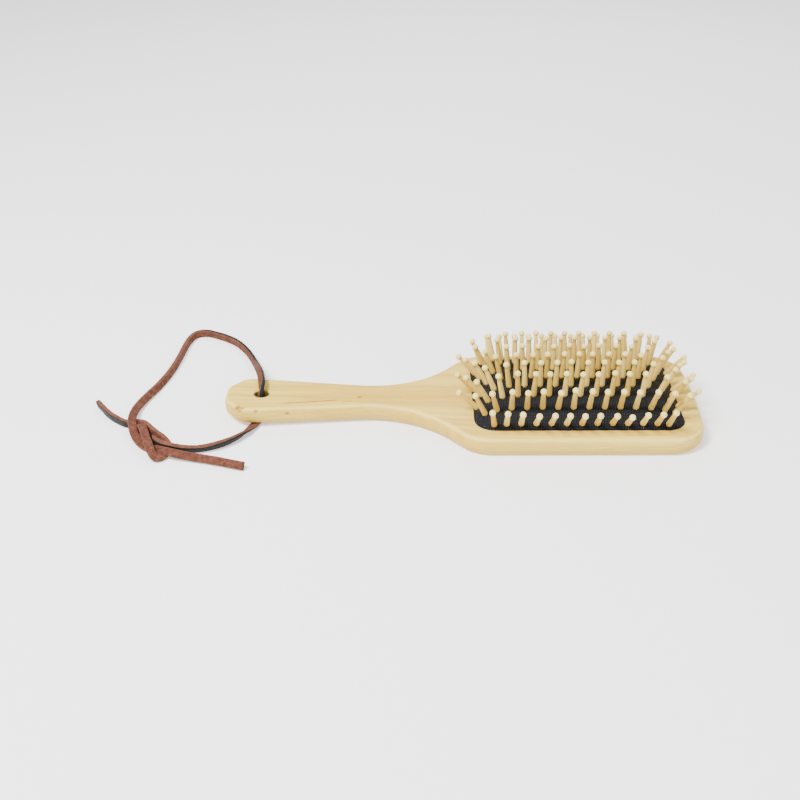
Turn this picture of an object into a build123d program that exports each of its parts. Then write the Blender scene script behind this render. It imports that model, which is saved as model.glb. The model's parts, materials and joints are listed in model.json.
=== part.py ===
"""Wooden paddle brush with a sprung rubber cushion, turned wooden pins and a leather hanging lace.

The brush lies on its flat back with the pins up. +X runs along the handle towards the head, +Z is up,
and Z = 0 is the surface that the back and the lace rest on. All sizes are in millimetres.
"""
from build123d import *
import math
import os
import random

# Wooden body
BOARD_THICKNESS = 10.0
HEAD_END_X = 121.9
HEAD_CORNER_X = 118.9
HEAD_HALF_WIDTH = 43.5
HEAD_CORNER_RADIUS = 18.0
HEAD_END_BOW_RADIUS = 300.0
SHOULDER_X = 5.4
SHOULDER_RADIUS = 20.0
WAIST_X = -24.9
WAIST_HALF_WIDTH = 8.4
WAIST_RADIUS = 53.0
GRIP_CORNER_X = -112.0
GRIP_HALF_WIDTH = 16.9
GRIP_CORNER_RADIUS = 9.0
GRIP_END_X = -121.2
GRIP_END_HALF_WIDTH = 6.8
GRIP_END_RADIUS = 8.0
LIFT_START_X = -15.7
GRIP_BACK_LIFT = 2.3
GRIP_FACE_LIFT = 1.9
LIFT_BLEND_RADIUS = 400.0
FACE_EDGE_ROUNDING = 2.4
BACK_EDGE_ROUNDING = 3.9
HANGING_HOLE_X = -102.7
HANGING_HOLE_RADIUS = 3.6
HOLE_EDGE_ROUNDING = 1.2

# Cushion and the recess that holds it
CUSHION_X = 58.4
CUSHION_HALF_LENGTH = 52.3
CUSHION_HALF_WIDTH = 35.0
CUSHION_CORNER_RADIUS = 10.0
DOME_HEIGHT = 10.3
DOME_LENGTH_POWER = 6.5
DOME_WIDTH_POWER = 4.0
FACING_THICKNESS = 0.5
RUBBER_THICKNESS = 1.5
SKIRT_THICKNESS = 1.2
SKIRT_DEPTH = 2.7
CHAMBER_DEPTH = 5.5
CHAMBER_INSET = 3.2
GLUE_WIDTH = 0.25
GLUE_DEPTH = 1.2
GLUE_STAND = 0.05

# Turned wooden pins, one row after another across the head
PIN_PITCH = 7.78
ROW_PITCH = 8.6
ROW_COUNTS = [13, 14, 15, 14, 15, 14, 15, 14, 13]
PATTERN_SHIFT = 1.2
PATTERN_SKEW = 0.03
OUTER_ROW_SHRINK = 0.05
PIN_HOLE_RADIUS = 1.35
BALL_RADIUS = 1.55
BALL_HEIGHT = 13.5
NECK_RADIUS = 0.95
NECK_HEIGHT = 11.7
BASE_RADIUS = 1.5
BASE_HEIGHT = 2.4
SHOULDER_GAP = 0.2
SHANK_RADIUS = 1.0
FOOT_RADIUS = 1.7
FOOT_TOP = -2.3
FOOT_THICKNESS = 0.9
END_GATHER = 0.8
CORNER_GATHER = 6.0
LEAN_SPREAD_DEG = 1.6
LEAN_LIMIT_DEG = 3.0

# Leather lace: two strands from the hanging hole to the knot, the knot, and two free tails
LACE_RADIUS = 1.2
LACE_REST_Z = 1.25
PRESSED_LACE_RADIUS = 0.85
PRESSED_REST_Z = 0.9
HOLE_MIDDLE_Z = 6.5
KNOT_CENTRE = (-156.5, -31.0)
KNOT_HALF_LENGTH = 12.0
KNOT_HALF_WIDTH = 16.0
KNOT_HEIGHT = 5.6
KNOT_ROUNDING = 2.2
ARC_SHARE = 0.45

# The upper strand leaves the hole's top, crosses the handle's far edge and sinks to the table.
UPPER_STRAND = [
    (-102.5, -1.0, HOLE_MIDDLE_Z),
    (-102.5, -1.0, 13.4),
    (-103.3, 8.4, 13.7),
    (-104.9, 19.6, 12.5),
    (-107.4, 32.0, 7.8),
    (-110.2, 44.0, 2.2),
    (-112.9, 54.6, LACE_REST_Z),
    (-116.8, 64.6, LACE_REST_Z),
    (-122.8, 72.8, LACE_REST_Z),
    (-129.8, 78.4, LACE_REST_Z),
    (-136.6, 82.6, LACE_REST_Z),
    (-143.4, 86.2, LACE_REST_Z),
    (-149.6, 84.4, LACE_REST_Z),
    (-152.3, 77.6, LACE_REST_Z),
    (-153.2, 67.0, LACE_REST_Z),
    (-154.3, 52.5, LACE_REST_Z),
    (-156.2, 38.0, LACE_REST_Z),
    (-159.4, 24.0, LACE_REST_Z),
    (-164.2, 11.0, LACE_REST_Z),
    (-167.6, 0.5, LACE_REST_Z),
    (-168.2, -9.5, 2.9),
    (-166.0, -20.0, 4.2),
    (-162.0, -29.0, 4.0),
]
# The lower strand leaves the hole's underside and passes, pressed thinner, beneath the handle's near edge.
LOWER_STRAND = [
    (-102.5, -1.0, HOLE_MIDDLE_Z),
    (-102.5, -1.0, PRESSED_REST_Z),
    (-103.4, -7.8, PRESSED_REST_Z),
    (-106.0, -17.8, PRESSED_REST_Z),
    (-111.4, -27.4, PRESSED_REST_Z),
    (-119.4, -34.4, PRESSED_REST_Z),
    (-129.4, -38.4, PRESSED_REST_Z),
    (-139.6, -37.6, PRESSED_REST_Z),
    (-148.5, -34.0, PRESSED_REST_Z),
]
LONG_TAIL = [
    (-155.5, -35.4, LACE_REST_Z),
    (-145.6, -38.4, LACE_REST_Z),
    (-133.6, -43.6, LACE_REST_Z),
    (-120.2, -47.0, LACE_REST_Z),
    (-106.4, -53.0, LACE_REST_Z),
]
SHORT_TAIL = [
    (-160.5, -22.5, LACE_REST_Z),
    (-167.6, -17.4, LACE_REST_Z),
    (-175.4, -12.2, LACE_REST_Z),
    (-181.6, -5.4, LACE_REST_Z),
    (-186.2, 2.4, LACE_REST_Z),
    (-189.4, 8.0, LACE_REST_Z),
]


def body_outline():
    """The closed plan outline of the wooden body, with every corner rounded by a tangent arc."""
    side = [
        (GRIP_END_X, GRIP_END_HALF_WIDTH, GRIP_END_RADIUS),
        (GRIP_CORNER_X, GRIP_HALF_WIDTH, GRIP_CORNER_RADIUS),
        (WAIST_X, WAIST_HALF_WIDTH, WAIST_RADIUS),
        (SHOULDER_X, HEAD_HALF_WIDTH, SHOULDER_RADIUS),
        (HEAD_CORNER_X, HEAD_HALF_WIDTH, HEAD_CORNER_RADIUS),
    ]
    points = [(x, y) for x, y, radius in side]
    radii = [radius for x, y, radius in side]
    mirrored = [(x, -y) for x, y in reversed(points)]
    corners = points + [(HEAD_END_X, 0.0)] + mirrored
    rounding = radii + [HEAD_END_BOW_RADIUS] + radii[::-1]
    return FilletPolyline(*corners, radius=rounding, close=True)


def side_outline():
    """The closed side outline: a level head, and a handle that lifts and thins towards its end."""
    beyond = 20.0
    slope_length = LIFT_START_X - GRIP_END_X
    scale = (slope_length + beyond) / slope_length
    far_x = GRIP_END_X - beyond
    back = FilletPolyline(
        (HEAD_END_X + beyond, 0.0),
        (LIFT_START_X, 0.0),
        (far_x, GRIP_BACK_LIFT * scale),
        radius=LIFT_BLEND_RADIUS,
    )
    face = FilletPolyline(
        (far_x, BOARD_THICKNESS + GRIP_FACE_LIFT * scale),
        (LIFT_START_X, BOARD_THICKNESS),
        (HEAD_END_X + beyond, BOARD_THICKNESS),
        radius=LIFT_BLEND_RADIUS,
    )
    grip_end = Line(back @ 1, face @ 0)
    head_end = Line(face @ 1, back @ 0)
    return [back, grip_end, face, head_end]


def cushion_prism(inset, low_z, high_z):
    """A prism over the cushion's plan, drawn in from its edge by the inset."""
    outline = RectangleRounded(
        2 * (CUSHION_HALF_LENGTH - inset),
        2 * (CUSHION_HALF_WIDTH - inset),
        CUSHION_CORNER_RADIUS - inset,
    )
    return Pos(CUSHION_X, 0, low_z) * extrude(outline, high_z - low_z)


def make_wooden_body():
    plan = extrude(make_face(body_outline()), 2 * BOARD_THICKNESS, dir=(0, 0, 1))
    side = extrude(Plane.XZ * make_face(side_outline()), 2 * HEAD_HALF_WIDTH, both=True)
    board = plan & side
    board = fillet(board.edges().filter_by(is_face_edge), FACE_EDGE_ROUNDING)
    board = fillet(board.edges().filter_by(is_back_edge), BACK_EDGE_ROUNDING)
    hole = Pos(HANGING_HOLE_X, 0, BOARD_THICKNESS / 2) * Cylinder(HANGING_HOLE_RADIUS, 3 * BOARD_THICKNESS)
    board -= hole
    mouths = board.edges().filter_by(is_hole_mouth)
    board = fillet(mouths, HOLE_EDGE_ROUNDING)
    board -= cushion_prism(-GLUE_WIDTH, BOARD_THICKNESS - SKIRT_DEPTH, 2 * BOARD_THICKNESS)
    board -= cushion_prism(CHAMBER_INSET, BOARD_THICKNESS - CHAMBER_DEPTH, 2 * BOARD_THICKNESS)
    return board


def is_face_edge(edge):
    """True for the long edges round the pin side of the board."""
    box = edge.bounding_box()
    return box.size.Z < 5.0 and box.center().Z > BOARD_THICKNESS / 2


def is_back_edge(edge):
    """True for the long edges round the back of the board."""
    box = edge.bounding_box()
    return box.size.Z < 5.0 and box.center().Z < BOARD_THICKNESS / 2


def is_hole_mouth(edge):
    """True for the rims of the hanging hole, which span its diameter."""
    box = edge.bounding_box()
    near_hole = abs(box.center().X - HANGING_HOLE_X) < 1.0 and abs(box.center().Y) < 1.0
    return near_hole and abs(box.size.Y - 2 * HANGING_HOLE_RADIUS) < 0.2


def dome_rise(x, y):
    """The facing's height above the wooden face, at a place measured from the cushion's centre."""
    along = 1 - abs(x / CUSHION_HALF_LENGTH) ** DOME_LENGTH_POWER
    across = 1 - abs(y / CUSHION_HALF_WIDTH) ** DOME_WIDTH_POWER
    return DOME_HEIGHT * along * across


def below_dome(drop):
    """Everything under the dome's surface, with the surface lowered by the drop."""
    margin = 3.0
    columns = 33
    rows = 25
    span_x = CUSHION_HALF_LENGTH + margin
    span_y = CUSHION_HALF_WIDTH + margin
    grid = []
    for column in range(columns):
        x = span_x * (2 * column / (columns - 1) - 1)
        line = []
        for row in range(rows):
            y = span_y * (2 * row / (rows - 1) - 1)
            line.append(Vector(CUSHION_X + x, y, BOARD_THICKNESS + dome_rise(x, y) - drop))
        grid.append(line)
    surface = Face.make_surface_from_array_of_points(grid, tol=0.02, min_deg=3, max_deg=5)
    return extrude(surface, 3 * BOARD_THICKNESS, dir=(0, 0, -1))


def make_fabric_facing(holes):
    facing = cushion_prism(0, BOARD_THICKNESS - FACING_THICKNESS, 4 * BOARD_THICKNESS) & below_dome(0)
    facing -= below_dome(FACING_THICKNESS)
    return facing - holes


def make_rubber_membrane(holes):
    low_z = BOARD_THICKNESS - SKIRT_DEPTH
    rubber = cushion_prism(0, low_z, 4 * BOARD_THICKNESS) & below_dome(FACING_THICKNESS)
    inside = cushion_prism(SKIRT_THICKNESS, low_z, 4 * BOARD_THICKNESS)
    rubber -= inside & below_dome(FACING_THICKNESS + RUBBER_THICKNESS)
    return rubber - holes


def make_glue_line():
    low_z = BOARD_THICKNESS - GLUE_DEPTH
    high_z = BOARD_THICKNESS + GLUE_STAND
    return cushion_prism(-GLUE_WIDTH, low_z, high_z) - cushion_prism(0, low_z, high_z)


def place_on_sheet(distance, half_span, power):
    """Where a point of the flat sheet comes to lie once the sheet is domed, keeping its distance."""
    steps = 400
    step = abs(distance) / steps
    place = 0.0
    for _ in range(steps):
        slope = DOME_HEIGHT * power / half_span * (place / half_span) ** (power - 1)
        place += step / math.hypot(1.0, slope)
    return math.copysign(place, distance)


def gather(x, y):
    """How far the stretched sheet draws its outermost pins in, which is most at the corners."""
    near_end = abs(x / CUSHION_HALF_LENGTH) ** 8
    near_corner = CORNER_GATHER * abs(y / CUSHION_HALF_WIDTH) ** 4
    against_shift = PATTERN_SHIFT if x > 0 else 0.0
    return near_end * (END_GATHER + near_corner + against_shift)


def dome_normal(x, y):
    """The outward normal of the dome, from differences of its height."""
    small = 0.05
    slope_x = (dome_rise(x + small, y) - dome_rise(x - small, y)) / (2 * small)
    slope_y = (dome_rise(x, y + small) - dome_rise(x, y - small)) / (2 * small)
    return Vector(-slope_x, -slope_y, 1).normalized()


def pin_planes():
    """For each row, the planes its pins stand on: on the dome, upright to it but for a slight odd lean."""
    wander = random.Random(5)
    rows = []
    for row, count in enumerate(ROW_COUNTS):
        y = place_on_sheet((row - 4) * ROW_PITCH, CUSHION_HALF_WIDTH, DOME_WIDTH_POWER)
        pitch = PIN_PITCH * (1 - OUTER_ROW_SHRINK * abs(y / CUSHION_HALF_WIDTH) ** 4)
        planes = []
        for column in range(count):
            sheet_x = (column - (count - 1) / 2) * pitch + PATTERN_SHIFT + PATTERN_SKEW * y
            x = place_on_sheet(sheet_x, CUSHION_HALF_LENGTH, DOME_LENGTH_POWER)
            x -= math.copysign(gather(x, y), x)
            foot = Vector(CUSHION_X + x, y, BOARD_THICKNESS + dome_rise(x, y))
            lean_x = wander.gauss(0, LEAN_SPREAD_DEG)
            lean_y = wander.gauss(0, LEAN_SPREAD_DEG)
            lean_x = max(-LEAN_LIMIT_DEG, min(LEAN_LIMIT_DEG, lean_x))
            lean_y = max(-LEAN_LIMIT_DEG, min(LEAN_LIMIT_DEG, lean_y))
            axis = dome_normal(x, y).rotate(Axis.Y, lean_x).rotate(Axis.X, lean_y)
            planes.append(Plane(origin=foot, x_dir=(0, 1, 0), z_dir=axis))
        rows.append(planes)
    return rows


def make_pin():
    """One turned pin, upright with the facing at Z = 0: foot, shank, shoulder, taper, neck and ball."""
    neck_join = BALL_HEIGHT - math.sqrt(BALL_RADIUS ** 2 - NECK_RADIUS ** 2)
    foot_base = FOOT_TOP - FOOT_THICKNESS
    edge = 0.3
    outline = [
        Line((0, foot_base), (FOOT_RADIUS - edge, foot_base)),
        Line((FOOT_RADIUS - edge, foot_base), (FOOT_RADIUS, foot_base + edge)),
        Line((FOOT_RADIUS, foot_base + edge), (FOOT_RADIUS, FOOT_TOP)),
        Line((FOOT_RADIUS, FOOT_TOP), (SHANK_RADIUS, FOOT_TOP)),
        Line((SHANK_RADIUS, FOOT_TOP), (SHANK_RADIUS, SHOULDER_GAP)),
        Line((SHANK_RADIUS, SHOULDER_GAP), (BASE_RADIUS - edge, SHOULDER_GAP)),
        Line((BASE_RADIUS - edge, SHOULDER_GAP), (BASE_RADIUS, SHOULDER_GAP + edge)),
        Line((BASE_RADIUS, SHOULDER_GAP + edge), (BASE_RADIUS - 0.08, BASE_HEIGHT)),
        Spline(
            (BASE_RADIUS - 0.08, BASE_HEIGHT),
            (NECK_RADIUS + 0.04, NECK_HEIGHT),
            (NECK_RADIUS, neck_join),
            tangents=[(-0.05, 1), (0, 1)],
        ),
        CenterArc(
            (0, BALL_HEIGHT),
            BALL_RADIUS,
            start_angle=-math.degrees(math.acos(NECK_RADIUS / BALL_RADIUS)),
            arc_size=90 + math.degrees(math.acos(NECK_RADIUS / BALL_RADIUS)),
        ),
        Line((0, BALL_HEIGHT + BALL_RADIUS), (0, foot_base)),
    ]
    return revolve(Plane.XZ * make_face(outline), Axis.Z)


def make_pin_nodes(rows):
    """The pins as nodes: each row's own pins, with the outermost pins of the middle rows kept apart."""
    pin = make_pin()
    nodes = {}
    left_end = []
    right_end = []
    for number, planes in enumerate(rows, start=1):
        placed = [plane.location * pin for plane in planes]
        if 1 < number < len(rows):
            left_end.append(placed[0])
            right_end.append(placed[-1])
            placed = placed[1:-1]
        nodes[f"pins_row_{number}"] = Compound(children=placed)
    nodes["pins_left_end"] = Compound(children=left_end)
    nodes["pins_right_end"] = Compound(children=right_end)
    return nodes


def make_pin_holes(rows):
    hole = Pos(0, 0, -1) * Cylinder(PIN_HOLE_RADIUS, 6)
    return [plane.location * hole for planes in rows for plane in planes]


def make_strand(name, route, strand_radius):
    """A round strand along straight runs, joined by tangent arcs as large as the runs allow."""
    points = [Vector(*point) for point in route]
    radii = []
    for before, corner, after in zip(points, points[1:], points[2:]):
        arriving = corner - before
        leaving = after - corner
        half_turn = math.radians(arriving.get_angle(leaving)) / 2
        shorter = min(arriving.length, leaving.length)
        radii.append(ARC_SHARE * shorter / math.tan(half_turn))
    path = FilletPolyline(*points, radius=radii)
    section = Plane(origin=path @ 0, z_dir=path % 0) * Circle(strand_radius)
    strand = sweep(section, path=path)
    expected = math.pi * strand_radius ** 2 * path.length
    print(name, "length", round(path.length, 1), "volume ratio", round(strand.volume / expected, 3))
    print(name, "arc radii", [round(radius, 1) for radius in radii])
    return strand


def make_lace_knot():
    """The knot's outer shape: a low rounded cake that the strands and tails run into."""
    knot = extrude(Ellipse(KNOT_HALF_LENGTH, KNOT_HALF_WIDTH), KNOT_HEIGHT)
    rims = knot.edges().filter_by(lambda edge: edge.bounding_box().size.Z < 0.1)
    return Pos(*KNOT_CENTRE, 0) * fillet(rims, KNOT_ROUNDING)


def write_node(name, shape):
    export_step(shape, f"parts/{name}.step")
    print(name, "volume", round(shape.volume, 1))


def main():
    os.makedirs("parts", exist_ok=True)
    rows = pin_planes()
    holes = make_pin_holes(rows)
    nodes = {
        "wooden_body": make_wooden_body(),
        "rubber_membrane": make_rubber_membrane(holes),
        "fabric_facing": make_fabric_facing(holes),
        "glue_line": make_glue_line(),
    }
    nodes.update(make_pin_nodes(rows))
    nodes["lace_upper_strand"] = make_strand("lace_upper_strand", UPPER_STRAND, LACE_RADIUS)
    nodes["lace_lower_strand"] = make_strand("lace_lower_strand", LOWER_STRAND, PRESSED_LACE_RADIUS)
    nodes["lace_long_tail"] = make_strand("lace_long_tail", LONG_TAIL, LACE_RADIUS)
    nodes["lace_short_tail"] = make_strand("lace_short_tail", SHORT_TAIL, LACE_RADIUS)
    nodes["lace_knot"] = make_lace_knot()
    for name, shape in nodes.items():
        write_node(name, shape)


main()
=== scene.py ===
import json
import math
import random

import bmesh
import bpy
import numpy as np
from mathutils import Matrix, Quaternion, Vector, noise


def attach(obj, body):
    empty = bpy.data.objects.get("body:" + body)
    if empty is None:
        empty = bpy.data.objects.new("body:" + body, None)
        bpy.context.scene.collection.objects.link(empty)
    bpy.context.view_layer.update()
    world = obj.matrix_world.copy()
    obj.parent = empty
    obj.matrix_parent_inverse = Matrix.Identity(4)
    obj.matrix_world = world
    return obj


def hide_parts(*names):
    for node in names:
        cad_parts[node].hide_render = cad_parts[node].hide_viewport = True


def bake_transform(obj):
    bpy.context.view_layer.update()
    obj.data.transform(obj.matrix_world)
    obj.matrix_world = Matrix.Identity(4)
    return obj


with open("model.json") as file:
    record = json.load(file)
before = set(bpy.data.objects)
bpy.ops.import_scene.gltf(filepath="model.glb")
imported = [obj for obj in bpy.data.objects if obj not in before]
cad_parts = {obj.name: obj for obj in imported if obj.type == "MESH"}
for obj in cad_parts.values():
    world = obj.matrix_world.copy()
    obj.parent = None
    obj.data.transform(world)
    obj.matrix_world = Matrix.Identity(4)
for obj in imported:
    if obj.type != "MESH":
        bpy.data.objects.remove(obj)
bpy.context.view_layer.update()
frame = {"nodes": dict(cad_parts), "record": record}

MM = 0.001

# Cushion, in millimetres as in the CAD part: a dome that stands on the wooden face over a rounded rectangle
FACE_Z = 10.0
CUSHION_X = 58.4
HALF_LENGTH = 52.3
HALF_WIDTH = 35.0
CORNER_RADIUS = 10.0
DOME_HEIGHT = 10.3
LENGTH_POWER = 6.5
WIDTH_POWER = 4
FACING_THICKNESS = 0.5
FACING_COLUMNS = 209
FACING_ROWS = 141
FACING_INSET = 0.03
HELD_RIM = 1.0

# The facing round each pin, in metres: the radius of its hole, the radius inside which the sheet is cut out,
# how far from the pin's axis and from its stand the sheet is gathered, and how far from the stand it is held
HOLE_RADIUS = 0.0013
CUT_RADIUS = 0.0010
GATHER_RADIUS = 0.0016
GATHER_REACH = 0.003
HELD_RADIUS = 0.0019

# A pin's length from the bottom of its foot up to the facing, in millimetres, and the depth of the slices at
# its two ends that give its axis, in metres
FOOT_BOTTOM = 3.2
END_SLICE = 0.00002

# Leather lace: its section and the rounding of its edges, its least height above the floor, and the steps
# of its line between two control points
LACE_WIDTH = 4.2
LACE_THICKNESS = 2.4
LACE_EDGE = 0.5
FLOOR_CLEARANCE = 0.04
LINE_STEPS = 24

# The lace's two halves start in the hanging hole. Each row is a control point in millimetres, and the way
# that the lace's brown broad side faces there.
UPPER_ROUTE = [
    ((-102.5, -1.0, 6.5), (-0.86, 0.32, 0.38)),
    ((-102.5, -1.0, 14.1), (-0.86, 0.32, 0.38)),
    ((-103.3, 8.4, 14.5), (-0.84, 0.25, 0.42)),
    ((-105.8, 19.9, 13.2), (-0.88, 0.15, 0.32)),
    ((-108.5, 32.8, 8.2), (-0.9, 0.05, 0.18)),
    ((-112.2, 48.6, 2.2), (-0.9, -0.1, 0.04)),
    ((-115.7, 57.6, 1.8), (-0.88, -0.3, 0.04)),
    ((-119.9, 65.8, 1.8), (-0.8, -0.55, 0.02)),
    ((-125.2, 73.4, 1.8), (-0.65, -0.8, -0.04)),
    ((-131.3, 78.8, 1.8), (-0.5, -0.9, -0.1)),
    ((-137.7, 82.6, 1.8), (-0.35, -1.0, -0.15)),
    ((-144.0, 86.1, 1.8), (-0.15, -1.0, -0.15)),
    ((-151.2, 84.6, 1.8), (0.7, -0.8, 0.0)),
    ((-154.0, 75.8, 1.8), (1.0, -0.2, 0.0)),
    ((-154.9, 65.7, 1.8), (1.0, 0.0, 0.05)),
    ((-155.9, 52.0, 1.8), (1.0, 0.0, 0.05)),
    ((-157.9, 37.7, 1.8), (1.0, 0.0, 0.1)),
    ((-161.4, 23.2, 1.8), (1.0, -0.2, 0.25)),
    ((-166.0, 11.1, 1.8), (1.0, -0.2, 0.6)),
    ((-168.8, 0.3, 2.2), (0.8, 0.0, 0.8)),
    ((-168.9, -9.1, 3.6), (0.6, 0.0, 1.0)),
    ((-167.3, -17.6, 4.6), (0.3, 0.1, 1.0)),
    ((-165.4, -24.6, 3.6), (0.0, 0.0, 1.0)),
    ((-162.0, -31.0, 2.3), (-0.1, -0.2, 1.0)),
    ((-157.5, -35.8, 1.8), (-0.2, -0.2, 1.0)),
    ((-152.4, -39.2, 2.2), (-0.2, -0.5, 0.8)),
    ((-146.7, -42.6, 3.8), (-0.2, -0.8, 0.6)),
    ((-141.0, -44.6, 3.5), (-0.3, -0.8, 0.55)),
    ((-133.2, -46.0, 2.3), (-0.3, -0.8, 0.5)),
    ((-119.8, -49.4, 1.9), (-0.3, -0.8, 0.5)),
    ((-106.2, -54.1, 1.9), (-0.3, -0.8, 0.5)),
]
LOWER_ROUTE = [
    ((-102.5, -1.0, 6.5), (0.0, -1.0, 0.0)),
    ((-102.5, -1.0, 0.9), (0.0, -0.7, 0.7)),
    ((-103.4, -7.8, 0.9), (0.0, 0.0, 1.0)),
    ((-105.8, -16.2, 0.9), (-0.1, 0.25, 0.95)),
    ((-110.1, -25.1, 1.3), (-0.45, 0.65, 0.6)),
    ((-117.5, -33.4, 1.8), (-0.3, 0.85, 0.45)),
    ((-128.1, -38.6, 1.9), (0.0, 0.9, 0.45)),
    ((-136.7, -40.0, 3.0), (0.0, 0.9, 0.45)),
    ((-142.6, -40.2, 4.6), (0.2, 0.9, 0.5)),
    ((-147.7, -37.9, 4.6), (0.4, 0.8, 0.5)),
    ((-152.4, -33.4, 3.4), (0.5, 0.7, 0.1)),
    ((-156.6, -28.2, 2.0), (0.3, 0.3, -0.9)),
    ((-160.6, -23.3, 1.3), (0.0, 0.0, -1.0)),
    ((-163.1, -20.8, 1.8), (-0.5, 0.2, -0.9)),
    ((-163.2, -19.8, 3.4), (-0.7, 0.7, -0.2)),
    ((-161.5, -21.6, 5.2), (-0.2, 0.6, 0.8)),
    ((-159.1, -27.5, 5.7), (0.0, 0.0, 1.0)),
    ((-156.6, -34.5, 5.7), (-0.1, -0.2, 1.0)),
    ((-153.6, -41.7, 5.2), (-0.1, -0.2, 1.0)),
    ((-151.8, -46.1, 3.8), (-0.1, -0.4, 1.0)),
    ((-149.5, -46.7, 2.2), (0.0, -0.5, 0.9)),
    ((-146.9, -44.3, 1.4), (0.2, -0.3, 1.0)),
    ((-146.1, -39.9, 1.25), (0.3, 0.0, 1.0)),
    ((-146.1, -35.2, 1.4), (0.0, 0.0, 1.0)),
    ((-147.2, -33.0, 2.4), (-0.8, -0.2, 0.5)),
    ((-149.7, -29.9, 3.2), (-0.7, -0.7, 0.1)),
    ((-152.9, -27.3, 3.6), (-0.6, -0.8, 0.1)),
    ((-156.0, -23.8, 3.6), (-0.8, -0.6, 0.1)),
    ((-159.2, -18.6, 3.2), (-0.5, -0.9, 0.1)),
    ((-163.1, -15.1, 2.6), (-0.2, -1.0, 0.3)),
    ((-167.0, -13.7, 1.9), (0.0, 0.0, 1.0)),
    ((-170.3, -15.7, 1.8), (0.3, 1.0, 0.2)),
    ((-176.4, -10.9, 1.8), (0.5, 0.8, 0.1)),
    ((-181.7, -6.0, 1.8), (0.6, 0.8, 0.1)),
    ((-186.2, 0.3, 1.8), (0.7, 0.7, 0.15)),
    ((-189.8, 5.4, 1.8), (0.7, 0.7, 0.2)),
]
# How thin the lace is pressed at control points of the lower half, as a share of its thickness
PRESSED = {0: 0.8, 1: 0.6, 2: 0.6, 3: 0.62, 4: 0.85}
# Where the dyed layer starts in the lace's thickness, from the brown face at -1 to the dyed back at 1:
# along most of the lace, and at the control points where it starts elsewhere
DYE_START = 0.86
UPPER_DYE = {12: 0.40}
UPPER_DYE.update({index: -0.35 for index in range(12)})
UPPER_DYE.update({index: 1.05 for index in range(13, 25)})
LOWER_DYE = {3: 0.3, 4: 0.2, 5: 0.5}
LOWER_DYE.update({index: 1.05 for index in range(24, 30)})


def make_camera():
    """Looks across the brush from its near side, from about 30 degrees above the floor."""
    azimuth = math.radians(0.62)
    elevation = math.radians(30.32)
    roll = math.radians(0.46)
    distance = 600.8 * MM
    target = Vector((-31.13, 0.0, 10.0)) * MM
    level = math.cos(elevation)
    back = Vector((math.sin(azimuth) * level, -math.cos(azimuth) * level, math.sin(elevation)))
    data = bpy.data.cameras.new("camera")
    data.sensor_width = 36.0
    data.lens = 52.22
    data.shift_y = -0.006
    data.dof.use_dof = False
    camera = make_object("camera", data)
    camera.location = target + back * distance
    camera.rotation_mode = "QUATERNION"
    camera.rotation_quaternion = (-back).to_track_quat("-Z", "Y") @ Quaternion((0, 0, 1), -roll)
    bpy.context.scene.camera = camera


def make_object(name, data):
    """An object in the scene that shows the data."""
    made = bpy.data.objects.new(name, data)
    bpy.context.scene.collection.objects.link(made)
    return made


def mesh_from(name, vertices, faces, smooth=True):
    """A mesh of the given faces, smooth shaded unless asked otherwise."""
    mesh = bpy.data.meshes.new(name)
    mesh.from_pydata([tuple(v) for v in vertices], [], faces)
    mesh.update()
    if smooth:
        mesh.polygons.foreach_set("use_smooth", [True] * len(mesh.polygons))
    return mesh


def set_point_values(mesh, name, values, kind="FLOAT"):
    """Gives the mesh a named attribute with one value, or one vector, for each vertex."""
    layer = mesh.attributes.new(name, kind, "POINT")
    field = "vector" if kind == "FLOAT_VECTOR" else "value"
    layer.data.foreach_set(field, np.asarray(values, np.float32).ravel())


# ---------------------------------------------------------------- lace


def line_points(name, route):
    """Points along the smooth NURBS line that has the route's points as its control points."""
    data = bpy.data.curves.new(name, "CURVE")
    data.dimensions = "3D"
    data.resolution_u = LINE_STEPS
    spline = data.splines.new("NURBS")
    spline.points.add(len(route) - 1)
    for point, (place, _) in zip(spline.points, route):
        point.co = (place[0] * MM, place[1] * MM, place[2] * MM, 1.0)
    spline.order_u = 3
    spline.use_endpoint_u = True
    spline.resolution_u = LINE_STEPS
    line = make_object(name, data)
    bpy.context.view_layer.update()
    mesh = bpy.data.meshes.new_from_object(line)
    points = np.array([vertex.co for vertex in mesh.vertices], float)
    bpy.data.meshes.remove(mesh)
    bpy.data.objects.remove(line)
    bpy.data.curves.remove(data)
    return points


def along_route(values, count):
    """Values given at a quadratic line's control points, read at each of its points."""
    last = len(values) - 2
    places = [0.0] + [index + 0.5 for index in range(last)] + [float(last)]
    at = np.linspace(0.0, last, count)
    return np.interp(at, places, values)


def lace_profile():
    """The lace's section, round its edge: a place across the width and one through the thickness."""
    half_width = LACE_WIDTH / 2
    half_depth = LACE_THICKNESS / 2
    corners = [(1, 1, 0), (-1, 1, 90), (-1, -1, 180), (1, -1, 270)]
    profile = []
    for side_w, side_d, start in corners:
        for step in range(4):
            angle = math.radians(start + 30 * step)
            across = side_w * (half_width - LACE_EDGE) + LACE_EDGE * math.cos(angle)
            through = side_d * (half_depth - LACE_EDGE) + LACE_EDGE * math.sin(angle)
            profile.append((across, through))
    rounded = []
    for (w0, d0), (w1, d1) in zip(profile, profile[1:] + profile[:1]):
        rounded.append((w0, d0))
        if math.hypot(w1 - w0, d1 - d0) > 0.6:
            rounded.extend((w0 + (w1 - w0) * part, d0 + (d1 - d0) * part) for part in (0.33, 0.67))
    return rounded


def gentle_lifts(lifts, reach=14):
    """Lifts along the lace, each at least as large as it was, changing only slowly from ring to ring."""
    spread = np.pad(lifts, reach, mode="edge")
    raised = np.array([spread[start:start + 2 * reach + 1].max() for start in range(len(lifts))])
    spread = np.pad(raised, reach, mode="edge")
    return np.convolve(spread, np.full(2 * reach + 1, 1 / (2 * reach + 1)), "valid")


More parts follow.
